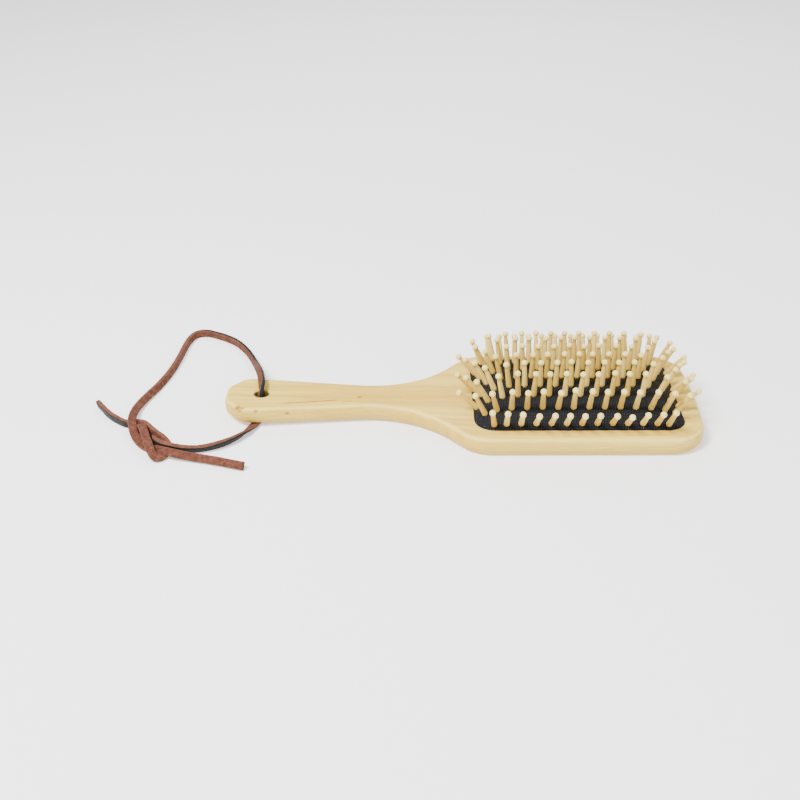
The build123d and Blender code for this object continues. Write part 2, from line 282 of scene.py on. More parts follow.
def make_lace_half(name, route, pressed, dye, seed):
    """A leather lace along the route. Its brown broad side faces as the route says, its dyed side away."""
    points = line_points(name + "_line", route)
    count = len(points)
    tangents = np.gradient(points, axis=0)
    tangents /= np.linalg.norm(tangents, axis=1)[:, None]
    facing = np.stack([along_route([face[k] for _, face in route], count) for k in range(3)], axis=1)
    press = along_route([pressed.get(index, 1.0) for index in range(len(route))], count)
    dye_start = along_route([dye.get(index, DYE_START) for index in range(len(route))], count)
    facing -= (facing * tangents).sum(1)[:, None] * tangents
    facing /= np.linalg.norm(facing, axis=1)[:, None]
    width_way = np.cross(facing, tangents)
    lengths = np.concatenate([[0.0], np.cumsum(np.linalg.norm(np.diff(points, axis=0), axis=1))])
    profile = lace_profile()
    rings = []
    sides = []
    for index in range(count):
        run = lengths[index] / MM
        ring = []
        for across, through in profile:
            ragged = noise.noise(Vector((run * 0.45, across * 0.9, through * 0.9 + seed)))
            swell = 1.0 + 0.05 * ragged + 0.03 * noise.noise(Vector((run * 0.12, seed, across)))
            wide = across * swell * (1.0 + 0.2 * (1.0 - press[index]))
            deep = through * swell * press[index]
            ring.append(points[index] + MM * (width_way[index] * wide - facing[index] * deep))
        rings.append(ring)
        for across, through in profile:
            sides.append((run * MM, across / LACE_WIDTH * 2, through / LACE_THICKNESS * 2))
    rings = np.array(rings)
    lifts = gentle_lifts(np.maximum(0.0, FLOOR_CLEARANCE * MM - rings[:, :, 2].min(axis=1)))
    rings[:, :, 2] += lifts[:, None]
    path = points + np.outer(lifts, (0.0, 0.0, 1.0))
    vertices = rings.reshape(-1, 3)
    around = len(profile)
    faces = []
    for index in range(count - 1):
        for k in range(around):
            after = (k + 1) % around
            base = index * around
            faces.append((base + k, base + after, base + around + after, base + around + k))
    faces.append(tuple(range(around))[::-1])
    faces.append(tuple(range((count - 1) * around, count * around)))
    mesh = mesh_from(name, vertices, faces)
    mesh.polygons[-1].use_smooth = False
    mesh.polygons[-2].use_smooth = False
    set_point_values(mesh, "lace_place", sides, "FLOAT_VECTOR")
    set_point_values(mesh, "lace_dye", np.repeat(dye_start, around))
    piece = make_object(name, mesh)
    mesh.materials.append(leather_material())
    print(name, "length", round(float(lengths[-1]), 4), "rings", count)
    return piece, path, float(lengths[-1])


def make_lace():
    """The two halves of the lace, which together stand in for the CAD lace's tubes and knot."""
    upper, upper_path, upper_length = make_lace_half("lace_upper_half", UPPER_ROUTE, {}, UPPER_DYE, 3.0)
    lower, lower_path, lower_length = make_lace_half("lace_lower_half", LOWER_ROUTE, PRESSED, LOWER_DYE, 8.0)
    for piece in (upper, lower):
        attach(piece, "root")
    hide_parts("lace_upper_strand", "lace_long_tail")
    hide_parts("lace_lower_strand", "lace_short_tail", "lace_knot")


# ---------------------------------------------------------------- node materials


class Nodes:
    """A material's node tree, with short calls for the nodes the materials here need."""

    def __init__(self, name):
        self.material = bpy.data.materials.new(name)
        self.material.use_nodes = True
        self.tree = self.material.node_tree
        self.tree.nodes.clear()
        self.output = self.tree.nodes.new("ShaderNodeOutputMaterial")

    def put(self, socket, value):
        """Links an output to the socket, or sets the socket to a number, a vector or a colour."""
        if isinstance(value, bpy.types.NodeSocket):
            self.tree.links.new(value, socket)
        elif hasattr(value, "__len__") and len(value) == 3 and socket.type == "RGBA":
            socket.default_value = (*value, 1.0)
        else:
            socket.default_value = value

    def add(self, kind, out=0, settings=None, **values):
        """Adds a node with its settings and inputs, and returns one of its outputs."""
        node = self.tree.nodes.new(kind)
        for key, value in (settings or {}).items():
            setattr(node, key, value)
        for key, value in values.items():
            self.put(node.inputs[key.replace("_", " ")], value)
        return node.outputs[out]

    def place(self):
        """The shaded point in the object's own coordinates."""
        return self.add("ShaderNodeTexCoord", "Object")

    def attribute(self, name, out="Vector"):
        """The value of a named mesh attribute."""
        return self.add("ShaderNodeAttribute", out, {"attribute_name": name})

    def math(self, operation, first, second=0.0, third=0.0):
        """The result of a math node."""
        node = self.tree.nodes.new("ShaderNodeMath")
        node.operation = operation
        for socket, value in zip(node.inputs, (first, second, third)):
            self.put(socket, value)
        return node.outputs[0]

    def vector(self, operation, first, second):
        """The result of a vector math node: a number for a distance, otherwise a vector."""
        node = self.tree.nodes.new("ShaderNodeVectorMath")
        node.operation = operation
        self.put(node.inputs[0], first)
        self.put(node.inputs[1], second)
        return node.outputs["Value" if operation == "DISTANCE" else "Vector"]

    def split(self, vector):
        """The vector's three parts."""
        node = self.tree.nodes.new("ShaderNodeSeparateXYZ")
        self.put(node.inputs[0], vector)
        return node.outputs

    def join(self, x, y, z):
        """A vector made of three parts."""
        node = self.tree.nodes.new("ShaderNodeCombineXYZ")
        for socket, value in zip(node.inputs, (x, y, z)):
            self.put(socket, value)
        return node.outputs[0]

    def scaled(self, vector, scale):
        """The vector with each part multiplied by its own scale."""
        return self.vector("MULTIPLY", vector, scale)

    def noise(self, vector, scale, detail=2.0, roughness=0.5, distortion=0.0):
        """The value of a noise texture at a place."""
        return self.add(
            "ShaderNodeTexNoise", "Fac", Vector=vector, Scale=scale,
            Detail=detail, Roughness=roughness, Distortion=distortion,
        )

    def ramp(self, factor, stops):
        """A colour from a ramp with the given stops."""
        node = self.tree.nodes.new("ShaderNodeValToRGB")
        self.put(node.inputs[0], factor)
        elements = node.color_ramp.elements
        while len(elements) < len(stops):
            elements.new(0.5)
        for element, (position, color) in zip(elements, stops):
            element.position = position
            element.color = (*color, 1.0)
        return node.outputs[0]

    def spread(self, value, low, high, new_low=0.0, new_high=1.0, smooth=True):
        """The value carried from one range to another and held at the ends."""
        node = self.tree.nodes.new("ShaderNodeMapRange")
        node.interpolation_type = "SMOOTHSTEP" if smooth else "LINEAR"
        for socket, number in zip(node.inputs, (value, low, high, new_low, new_high)):
            self.put(socket, number)
        return node.outputs[0]

    def mix(self, factor, first, second):
        """A colour between the first and the second."""
        node = self.tree.nodes.new("ShaderNodeMix")
        node.data_type = "RGBA"
        self.put(node.inputs[0], factor)
        self.put(node.inputs[6], first)
        self.put(node.inputs[7], second)
        return node.outputs[2]

    def bump(self, height, distance, strength):
        """A normal bent by the height."""
        node = self.tree.nodes.new("ShaderNodeBump")
        self.put(node.inputs["Strength"], strength)
        self.put(node.inputs["Distance"], distance)
        self.put(node.inputs["Height"], height)
        return node.outputs[0]

    def finish(self, **values):
        """Ends the material with a principled shader that has the given inputs."""
        shader = self.tree.nodes.new("ShaderNodeBsdfPrincipled")
        for key, value in values.items():
            self.put(shader.inputs[key.replace("_", " ")], value)
        self.tree.links.new(shader.outputs[0], self.output.inputs[0])
        return self.material


def leather_material():
    """Brown suede lace, dyed near-black on one broad side, with a blotchy, slightly hairy surface and a
    painted highlight along its edges.
    """
    found = bpy.data.materials.get("lace_leather")
    if found:
        return found
    n = Nodes("lace_leather")
    run, across, through = n.split(n.attribute("lace_place"))
    body = n.place()
    blotch = n.noise(body, 420.0, 3.0, 0.6)
    fibre = n.noise(n.join(n.math("MULTIPLY", run, 900.0), n.math("MULTIPLY", across, 3.2),
                           n.math("MULTIPLY", through, 3.2)), 1.0, 4.0, 0.7, 0.4)
    nap = n.noise(body, 3200.0, 3.0, 0.7)
    brown = n.ramp(blotch, [(0.30, (0.066, 0.022, 0.0135)), (0.50, (0.108, 0.037, 0.0225)),
                            (0.70, (0.165, 0.062, 0.037))])
    brown = n.mix(n.spread(fibre, 0.45, 0.72, 0.0, 0.62), brown, (0.036, 0.012, 0.008))
    brown = n.mix(n.spread(nap, 0.52, 0.75, 0.0, 0.48), brown, (0.30, 0.140, 0.092))
    # Painted highlight: the brown is lightened towards both edges of the lace's width, standing in for light
    # on them.
    edge = n.math("ABSOLUTE", across)
    brown = n.mix(n.spread(edge, 0.80, 1.0, 0.0, 0.25), brown, (0.22, 0.090, 0.055))
    black = n.ramp(nap, [(0.3, (0.0050, 0.0058, 0.0054)), (0.7, (0.0140, 0.0155, 0.0145))])
    wavy = n.math("MULTIPLY_ADD", n.noise(body, 900.0, 2.0), 0.3, through)
    dye_start = n.attribute("lace_dye", "Fac")
    dyed = n.spread(n.math("SUBTRACT", wavy, dye_start), 0.0, 0.12)
    color = n.mix(dyed, brown, black)
    height = n.math("ADD", n.math("MULTIPLY", nap, 0.6), fibre)
    rough = n.spread(dyed, 0.0, 1.0, 0.92, 0.58, smooth=False)
    return n.finish(
        Base_Color=color, Roughness=rough, Specular_IOR_Level=0.12, Sheen_Weight=0.05,
        Sheen_Roughness=0.5, Sheen_Tint=(0.55, 0.33, 0.25), Normal=n.bump(height, 0.00022, 0.9),
    )


def body_wood_material():
    """Pale maple cut along X: growth lines, fibre, flecks, one brown streak and pin knots, with a painted
    highlight along the rounded edges and painted shade on the lower sides and in the hanging hole.
    """
    n = Nodes("body_maple")
    place = n.place()
    sway = n.noise(n.scaled(place, (9.0, 28.0, 28.0)), 1.0, 2.0, 0.5)
    sway_small = n.noise(n.scaled(place, (38.0, 160.0, 160.0)), 1.0, 2.0, 0.5)
    x, y, z = n.split(place)
    lifted_y = n.math("ADD", y, n.math("MULTIPLY", n.math("SUBTRACT", sway, 0.5), 0.022))
    lifted_y = n.math("ADD", lifted_y, n.math("MULTIPLY", n.math("SUBTRACT", sway_small, 0.5), 0.0022))
    ring_y = n.math("SUBTRACT", lifted_y, 0.012)
    ring_z = n.math("ADD", z, 0.055)
    squares = n.math("ADD", n.math("MULTIPLY", ring_y, ring_y), n.math("MULTIPLY", ring_z, ring_z))
    radius = n.math("SQRT", squares)
    rings = n.math("SINE", n.math("MULTIPLY", radius, 2400.0))
    rings = n.spread(rings, -0.2, 1.0)
    fibre = n.noise(n.join(n.math("MULTIPLY", x, 26.0), n.math("MULTIPLY", lifted_y, 1500.0),
                           n.math("MULTIPLY", z, 1500.0)), 1.0, 4.0, 0.62)
    bands = n.noise(n.join(n.math("MULTIPLY", x, 5.0), n.math("MULTIPLY", lifted_y, 120.0),
                           n.math("MULTIPLY", z, 120.0)), 1.0, 3.0, 0.5)
    flecks = n.noise(n.join(n.math("MULTIPLY", x, 240.0), n.math("MULTIPLY", y, 2900.0),
                            n.math("MULTIPLY", z, 2900.0)), 1.0, 2.0, 0.6)
    color = n.ramp(bands, [(0.30, (0.610, 0.375, 0.052)), (0.46, (0.730, 0.505, 0.086)),
                           (0.60, (0.820, 0.605, 0.125)), (0.74, (0.650, 0.415, 0.060))])
    color = n.mix(n.math("MULTIPLY", rings, 0.26), color, (0.50, 0.285, 0.036))
    color = n.mix(n.spread(fibre, 0.42, 0.72, 0.0, 0.36), color, (0.51, 0.305, 0.042))
    color = n.mix(n.spread(fibre, 0.50, 0.28, 0.0, 0.34), color, (0.90, 0.710, 0.195))
    color = n.mix(n.spread(flecks, 0.62, 0.74, 0.0, 0.38), color, (0.40, 0.22, 0.050))
    color = n.mix(amber_mask(n, x, y, z, sway), color, (0.72, 0.400, 0.050))
    endways, _, upward = n.split(n.add("ShaderNodeNewGeometry", "Normal"))
    # Painted highlight: where the normal leans between upward and sideways, on the rounded edges, the wood is
    # lightened.
    painted_edge_highlight = n.math("MULTIPLY", n.spread(upward, 0.30, 0.62), n.spread(upward, 0.97, 0.80))
    color = n.mix(n.math("MULTIPLY", painted_edge_highlight, 0.42), color, (0.96, 0.800, 0.270))
    # Painted shade: faces that do not look upward are darkened, more so lower down.
    painted_side_shade = n.math("MULTIPLY", n.spread(upward, 0.45, 0.05), n.spread(z, 0.0085, 0.0020, 0.15, 1.0))
    color = n.mix(n.math("MULTIPLY", painted_side_shade, 0.50), color, (0.44, 0.310, 0.078))
    # Painted shade in the hanging hole: the wood is darkened within 4.6 mm of the hole's centre.
    from_hole = n.vector("DISTANCE", n.scaled(place, (1.0, 1.0, 0.0)), (-0.1027, -0.0010, 0.0))
    color = n.mix(n.spread(from_hole, 0.0046, 0.0040, 0.0, 0.92), color, (0.24, 0.115, 0.070))
    color = n.mix(streak_mask(n, x, y, z, sway_small), color, (0.43, 0.175, 0.012))
    color = n.mix(knot_mask(n, place), color, (0.34, 0.110, 0.012))
    end_grain = n.math("ABSOLUTE", endways)
    color = n.mix(n.spread(end_grain, 0.75, 1.0, 0.0, 0.30), color, (0.55, 0.36, 0.100))
    rough = n.spread(bands, 0.3, 0.7, 0.62, 0.52, smooth=False)
    height = n.math("ADD", fibre, n.math("MULTIPLY", flecks, -0.5))
    return n.finish(
        Base_Color=color, Roughness=rough, Specular_IOR_Level=0.14, Normal=n.bump(height, 0.00006, 0.5),
    )


def amber_mask(n, x, y, z, sway):
    """A warmer tone at the near corner of the grip's end and along the neck's near edge."""
    patch = n.spread(sway, 0.38, 0.62, 0.45, 1.0)
    corner = n.math("MULTIPLY", n.spread(x, -0.1020, -0.1130), n.spread(y, -0.0030, -0.0120))
    near_edge = n.math("MULTIPLY", n.spread(y, -0.0090, -0.0150), n.spread(z, 0.0105, 0.0070))
    neck = n.math("MULTIPLY", n.spread(x, -0.0500, -0.0200), n.spread(x, 0.0200, 0.0000))
    neck = n.math("MULTIPLY", near_edge, neck)
    both = n.math("MAXIMUM", n.math("MULTIPLY", corner, 0.45), n.math("MULTIPLY", neck, 0.65))
    return n.math("MULTIPLY", both, patch)


def streak_mask(n, x, y, z, sway):
    """The thin mineral streak along the handle's upper face, with a short second stroke after it."""
    wander = n.math("MULTIPLY", n.math("SUBTRACT", sway, 0.5), 0.0011)
    line = n.math("MULTIPLY_ADD", n.math("ADD", x, 0.0927), 0.124, -0.0103)
    off = n.math("ABSOLUTE", n.math("SUBTRACT", n.math("ADD", y, wander), line))
    first = n.math("MULTIPLY", n.spread(off, 0.00095, 0.00030), n.spread(x, -0.0960, -0.0880))
    first = n.math("MULTIPLY", first, n.spread(x, -0.0600, -0.0660))
    second_line = n.math("MULTIPLY_ADD", n.math("ADD", x, 0.0613), 0.060, -0.0077)
    off_second = n.math("ABSOLUTE", n.math("SUBTRACT", n.math("ADD", y, wander), second_line))
    second = n.math("MULTIPLY", n.spread(off_second, 0.00080, 0.00020), n.spread(x, -0.0630, -0.0600))
    second = n.math("MULTIPLY", second, n.spread(x, -0.0540, -0.0565))
    both = n.math("MAXIMUM", first, n.math("MULTIPLY", second, 0.8))
    both = n.math("MULTIPLY", both, n.spread(z, 0.0080, 0.0095))
    broken = n.noise(n.join(n.math("MULTIPLY", x, 300.0), 0.0, 0.0), 1.0, 3.0, 0.6)
    return n.math("MULTIPLY", both, n.spread(broken, 0.30, 0.55, 0.45, 0.95))


def knot_mask(n, place):
    """Small pin knots on the handle: each one's place in metres, its radius and how strongly it shows."""
    spots = [
        (-0.0519, -0.0028, 0.0107, 0.0013, 0.85),
        (-0.0272, -0.0005, 0.0102, 0.0007, 0.45),
        (-0.0884, -0.0146, 0.0081, 0.0012, 0.80),
        (-0.1042, -0.0159, 0.0102, 0.0012, 0.70),
        (-0.1135, -0.0140, 0.0110, 0.0018, 0.90),
        (-0.1112, -0.0149, 0.0113, 0.0014, 0.70),
        (-0.1123, -0.0155, 0.0101, 0.0011, 0.60),
    ]
    stretched = n.scaled(place, (0.7, 1.0, 1.0))
    total = None
    for x, y, z, radius, depth in spots:
        away = n.vector("DISTANCE", stretched, (0.7 * x, y, z))
        spot = n.spread(away, radius, radius * 0.3, 0.0, depth)
        total = spot if total is None else n.math("MAXIMUM", total, spot)
    return total


def pin_wood_material():
    """Turned beech pins: each with its own tone, grain along its length and faint rings from the lathe, and a
    painted highlight on the balls.
    """
    n = Nodes("pin_beech")
    local = n.attribute("pin_place")
    tone = n.attribute("pin_tone", "Fac")
    warm = n.attribute("pin_warm", "Fac")
    x, y, z = n.split(local)
    fibre = n.noise(n.join(n.math("MULTIPLY", x, 2300.0), n.math("MULTIPLY", y, 2300.0),
                           n.math("MULTIPLY", z, 110.0)), 1.0, 3.0, 0.6)
    lathe = n.noise(n.join(0.0, tone, n.math("MULTIPLY", z, 2600.0)), 1.0, 2.0, 0.5)
    color = n.ramp(tone, [(0.0, (0.540, 0.350, 0.052)), (0.45, (0.640, 0.440, 0.082)),
                          (1.0, (0.760, 0.570, 0.145))])
    color = n.mix(n.spread(warm, 0.62, 1.0, 0.0, 0.55), color, (0.540, 0.325, 0.050))
    color = n.mix(n.spread(fibre, 0.45, 0.72, 0.0, 0.45), color, (0.45, 0.27, 0.065))
    color = n.mix(n.spread(fibre, 0.48, 0.28, 0.0, 0.35), color, (0.86, 0.70, 0.24))
    # Painted highlight: the ball at each pin's top is lightened, standing in for light falling on it from
    # above.
    painted_ball_highlight = n.spread(z, 0.0120, 0.0132)
    color = n.mix(n.math("MULTIPLY", painted_ball_highlight, 0.78), color, (0.97, 0.79, 0.28))
    height = n.math("ADD", fibre, n.math("MULTIPLY", lathe, 0.5))
    return n.finish(
        Base_Color=color, Roughness=n.spread(fibre, 0.3, 0.7, 0.48, 0.60), Specular_IOR_Level=0.20,
        Normal=n.bump(height, 0.00005, 0.5),
    )


def facing_material():
    """Black woven facing: a fine diagonal weave with painted glints on its crossings, and dust specks by the
    edge.
    """
    n = Nodes("facing_weave")
    sheet = n.attribute("sheet_place")
    u, v, rim = n.split(sheet)
    jitter = n.noise(n.join(n.math("MULTIPLY", u, 160.0), n.math("MULTIPLY", v, 160.0), 0.0), 1.0, 2.0)
    jitter = n.math("MULTIPLY", n.math("SUBTRACT", jitter, 0.5), 0.9)
    one = n.math("ADD", n.math("MULTIPLY", n.math("ADD", u, v), 3900.0), jitter)
    two = n.math("ADD", n.math("MULTIPLY", n.math("SUBTRACT", u, v), 3900.0), jitter)
    crest_one = n.math("SINE", one)
    crest_two = n.math("SINE", two)
    over = n.math("MULTIPLY", crest_one, crest_two)
    threads = n.math("MAXIMUM", crest_one, crest_two)
    height = n.math("ADD", n.math("MULTIPLY", over, 0.6), threads)
    # Painted glints: the weave's crossings are lightened, standing in for light caught on the threads.
    glint = n.spread(over, 0.35, 1.0)
    lint = n.noise(n.scaled(sheet, (1.0, 1.0, 0.0)), 2600.0, 4.0, 0.8)
    color = n.mix(glint, (0.0030, 0.0033, 0.0041), (0.0620, 0.0650, 0.0740))
    color = n.mix(n.spread(lint, 0.60, 0.72, 0.0, 0.30), color, (0.035, 0.035, 0.038))
    dust = n.noise(n.scaled(sheet, (1.0, 1.0, 0.0)), 1900.0, 2.0, 0.5)
    near_rim = n.spread(rim, 0.0045, 0.0004)
    specks = n.math("MULTIPLY", n.spread(dust, 0.69, 0.74), near_rim)
    color = n.mix(n.math("MULTIPLY", specks, 0.75), color, (0.50, 0.48, 0.44))
    return n.finish(
        Base_Color=color, Roughness=0.70, Specular_IOR_Level=0.10, Normal=n.bump(height, 0.00010, 0.75),
    )


def rubber_material():
    """Matt black rubber with faint grey clouds and a fine, lighter grain."""
    n = Nodes("membrane_rubber")
    grain = n.noise(n.place(), 1500.0, 4.0, 0.6)
    clouds = n.noise(n.place(), 120.0, 3.0, 0.5)
    color = n.ramp(clouds, [(0.3, (0.014, 0.014, 0.016)), (0.7, (0.030, 0.030, 0.033))])
    color = n.mix(n.spread(grain, 0.6, 0.75, 0.0, 0.3), color, (0.07, 0.07, 0.072))
    return n.finish(
        Base_Color=color, Roughness=n.spread(grain, 0.3, 0.7, 0.55, 0.72), Specular_IOR_Level=0.3,
        Normal=n.bump(grain, 0.00006, 0.5),
    )


def glue_material():
    """Dried contact adhesive: amber where it is thick, whitish and lumpy where it is smeared thin."""
    n = Nodes("edge_glue")
    lumps = n.noise(n.place(), 900.0, 4.0, 0.65)
    patches = n.noise(n.place(), 160.0, 3.0, 0.6)
    color = n.ramp(patches, [(0.38, (0.24, 0.12, 0.025)), (0.52, (0.60, 0.42, 0.14)),
                             (0.66, (0.84, 0.70, 0.36))])
    color = n.mix(n.spread(lumps, 0.58, 0.70, 0.0, 0.6), color, (0.16, 0.09, 0.04))
    return n.finish(
        Base_Color=color, Roughness=n.spread(lumps, 0.35, 0.65, 0.25, 0.5), Specular_IOR_Level=0.5,
        Coat_Weight=0.3, Coat_Roughness=0.2, Normal=n.bump(lumps, 0.00015, 0.8),
    )


def floor_material():
    """White studio paper with faint fibres, glowing a little."""
    n = Nodes("studio_paper")
    fibres = n.noise(n.place(), 180.0, 4.0, 0.6)
    color = n.ramp(fibres, [(0.3, (0.93, 0.93, 0.93)), (0.7, (0.96, 0.96, 0.96))])
    return n.finish(
        Base_Color=color, Roughness=0.9, Specular_IOR_Level=0.1, Emission_Color=(1.0, 1.0, 1.0),
        Emission_Strength=0.5, Normal=n.bump(fibres, 0.0001, 0.1),
    )


# ---------------------------------------------------------------- pins


def welded_copy(name, node):
    """A new mesh with a CAD node's shape, its faces joined where they meet."""
    source = frame["nodes"][node]
    mesh = source.data.copy()
    mesh.name = name
    mesh.materials.clear()
    work = bmesh.new()
    work.from_mesh(mesh)
    bmesh.ops.remove_doubles(work, verts=work.verts, dist=0.000004)
    work.to_mesh(mesh)
    work.free()
    return mesh


def islands_of(mesh):
    """A number for each vertex, the same over each connected solid."""
    parent = list(range(len(mesh.vertices)))

    def root(index):
        """The vertex that stands for all those joined to this one so far."""
        while parent[index] != index:
            parent[index] = parent[parent[index]]
            index = parent[index]
        return index

    for edge in mesh.edges:
        first, second = root(edge.vertices[0]), root(edge.vertices[1])
        if first != second:
            parent[first] = second
    roots = [root(index) for index in range(len(parent))]
    names = {value: number for number, value in enumerate(sorted(set(roots)))}
    return np.array([names[value] for value in roots])


def make_pins(node, wander, wood):
    """Stands in for one CAD node of pins, with each pin's own wood. Returns the pins' places and axes."""
    mesh = welded_copy("turned_" + node, node)
    places = np.array([vertex.co for vertex in mesh.vertices], float)
    numbers = islands_of(mesh)
    local = np.zeros_like(places)
    tone = np.zeros(len(places))
    warm = np.zeros(len(places))
    stands = []
    for number in range(numbers.max() + 1):
        mine = numbers == number
        cloud = places[mine]
        middle = cloud.mean(0)
        axis = np.linalg.svd(cloud - middle, full_matrices=False)[2][0]
        axis *= 1.0 if axis[2] > 0 else -1.0
        heights = (cloud - middle) @ axis
        base = cloud[heights < heights.min() + END_SLICE].mean(0)
        tip = cloud[heights > heights.max() - END_SLICE].mean(0)
        axis = (tip - base) / np.linalg.norm(tip - base)
        foot = base + axis * FOOT_BOTTOM * MM
        side = np.cross(axis, [0.0, 1.0, 0.0])
        side /= np.linalg.norm(side)
        other = np.cross(axis, side)
        away = cloud - foot
        shift = wander.random()
        turned = np.stack([away @ side + shift, away @ other + shift * 0.7, away @ axis], axis=1)
        local[mine] = turned
        tone[mine] = wander.random()
        warm[mine] = wander.random()
        stands.append((foot, axis))
    set_point_values(mesh, "pin_place", local, "FLOAT_VECTOR")
    set_point_values(mesh, "pin_tone", tone)
    set_point_values(mesh, "pin_warm", warm)
    mesh.materials.append(wood)
    piece = make_object("turned_" + node, mesh)
    body = next(name for name, members in frame["record"]["behaviour"]["bodies"].items() if node in members)
    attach(piece, body)
    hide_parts(node)
    return stands


# ---------------------------------------------------------------- cushion


def dome_z(x, y):
    """Height of the facing's top, in millimetres, at a place measured from the cushion's centre."""
    along = 1.0 - np.minimum(1.0, np.abs(x) / HALF_LENGTH) ** LENGTH_POWER
    across = 1.0 - np.minimum(1.0, np.abs(y) / HALF_WIDTH) ** WIDTH_POWER
    return FACE_Z + DOME_HEIGHT * along * across


def sheet_distance(half_span, power, places):
    """Distances along the domed sheet from its middle, for places measured straight across."""
    steps = np.linspace(0.0, half_span, 600)
    slope = DOME_HEIGHT * power / half_span * (steps / half_span) ** (power - 1)
    run = np.concatenate([[0.0], np.cumsum(np.hypot(1.0, (slope[1:] + slope[:-1]) / 2) * np.diff(steps))])
    return np.sign(places) * np.interp(np.abs(places), steps, run)


def facing_grid(columns, rows, inset):
    """Places over the cushion's rounded rectangle, row by row, in millimetres from its centre."""
    half_width = HALF_WIDTH - inset
    half_length = HALF_LENGTH - inset
    radius = CORNER_RADIUS - inset
    places = []
    for row in range(rows):
        y = half_width * (2.0 * row / (rows - 1) - 1.0)
        over = max(0.0, abs(y) - (half_width - radius))
        reach = half_length - radius + math.sqrt(max(0.0, radius ** 2 - over ** 2))
        places.extend((reach * (2.0 * column / (columns - 1) - 1.0), y) for column in range(columns))
    return places


def rim_distance(x, y):
    """How far inside the cushion's edge a place is, in millimetres."""
    past_x = abs(x) - (HALF_LENGTH - CORNER_RADIUS)
    past_y = abs(y) - (HALF_WIDTH - CORNER_RADIUS)
    if past_x > 0 and past_y > 0:
        return CORNER_RADIUS - math.hypot(past_x, past_y)
    return min(HALF_LENGTH - abs(x), HALF_WIDTH - abs(y))


def gather_round_pins(points, stands):
    """Moves the sheet's points away from the pins' axes, to leave a hole round each pin.

    Returns each point's distance from its nearest pin's axis before it was moved, or 1 if no pin is close.
    """
    nearest = np.full(len(points), 1.0)
    for foot, axis in stands:
        away = points - foot
        away -= (away @ axis)[:, None] * axis
        reach = np.linalg.norm(away, axis=1)
        close = (reach < GATHER_RADIUS) & (np.linalg.norm(points - foot, axis=1) < GATHER_REACH)
        wanted = HOLE_RADIUS + np.maximum(0.0, reach - CUT_RADIUS) * 0.5
        push = np.where(reach > 1e-6, wanted / np.maximum(reach, 1e-6), 1.0)
        nearest[close] = np.minimum(nearest, reach)[close]
        points[close] += (away * (push - 1.0)[:, None])[close]
    return nearest


def facing_faces(nearest):
    """The sheet's faces between its rows and columns of points, apart from those cut out round the pins."""
    faces = []
    for row in range(FACING_ROWS - 1):
        for column in range(FACING_COLUMNS - 1):
            base = row * FACING_COLUMNS + column
            ring = (base, base + 1, base + FACING_COLUMNS + 1, base + FACING_COLUMNS)
            if min(nearest[list(ring)]) > CUT_RADIUS:
                faces.append(ring)
    return faces


def make_facing(stands):
    """The woven sheet over the cushion: held at its rim and round every pin, and puffed up between them."""
    spots = facing_grid(FACING_COLUMNS, FACING_ROWS, FACING_INSET)
    points = np.array([(x + CUSHION_X, y, float(dome_z(x, y))) for x, y in spots]) * MM
    feet = np.array([foot for foot, _ in stands])
    nearest = gather_round_pins(points, stands)
    mesh = mesh_from("woven_facing", points, facing_faces(nearest))
    piece = make_object("woven_facing", mesh)
    remove_loose(mesh)
    points = np.array([vertex.co for vertex in mesh.vertices], float)
    held = []
    for index, point in enumerate(points):
        x, y = point[0] / MM - CUSHION_X, point[1] / MM
        if rim_distance(x, y) < HELD_RIM or np.linalg.norm(feet - point, axis=1).min() < HELD_RADIUS:
            held.append(index)
    puff_up(piece, held)
    turn_down_rim(mesh)
    thick = piece.modifiers.new("thickness", "SOLIDIFY")
    thick.thickness = (FACING_THICKNESS - 0.05) * MM
    thick.offset = -1.0
    finish_mesh(piece)
    mesh = piece.data
    points = np.array([vertex.co for vertex in mesh.vertices], float) / MM
    across = points[:, 0] - CUSHION_X
    rim = np.array([rim_distance(x, y) for x, y in zip(across, points[:, 1])])
    u = sheet_distance(HALF_LENGTH, LENGTH_POWER, across)
    v = sheet_distance(HALF_WIDTH, WIDTH_POWER, points[:, 1])
    set_point_values(mesh, "sheet_place", np.stack([u, v, rim], axis=1) * MM, "FLOAT_VECTOR")
    mesh.materials.append(facing_material())
    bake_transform(piece)
    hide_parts("fabric_facing")


def remove_loose(mesh):
    """Takes out the vertices that no face uses."""
    work = bmesh.new()
    work.from_mesh(mesh)
    bmesh.ops.delete(work, geom=[v for v in work.verts if not v.link_faces], context="VERTS")
    work.to_mesh(mesh)
    work.free()


def finish_mesh(piece):
    """Makes the piece's modifiers part of its mesh."""
    bpy.context.view_layer.update()
    shape = piece.evaluated_get(bpy.context.evaluated_depsgraph_get())
    mesh = bpy.data.meshes.new_from_object(shape)
    mesh.name = piece.name
    piece.modifiers.clear()
    piece.data = mesh


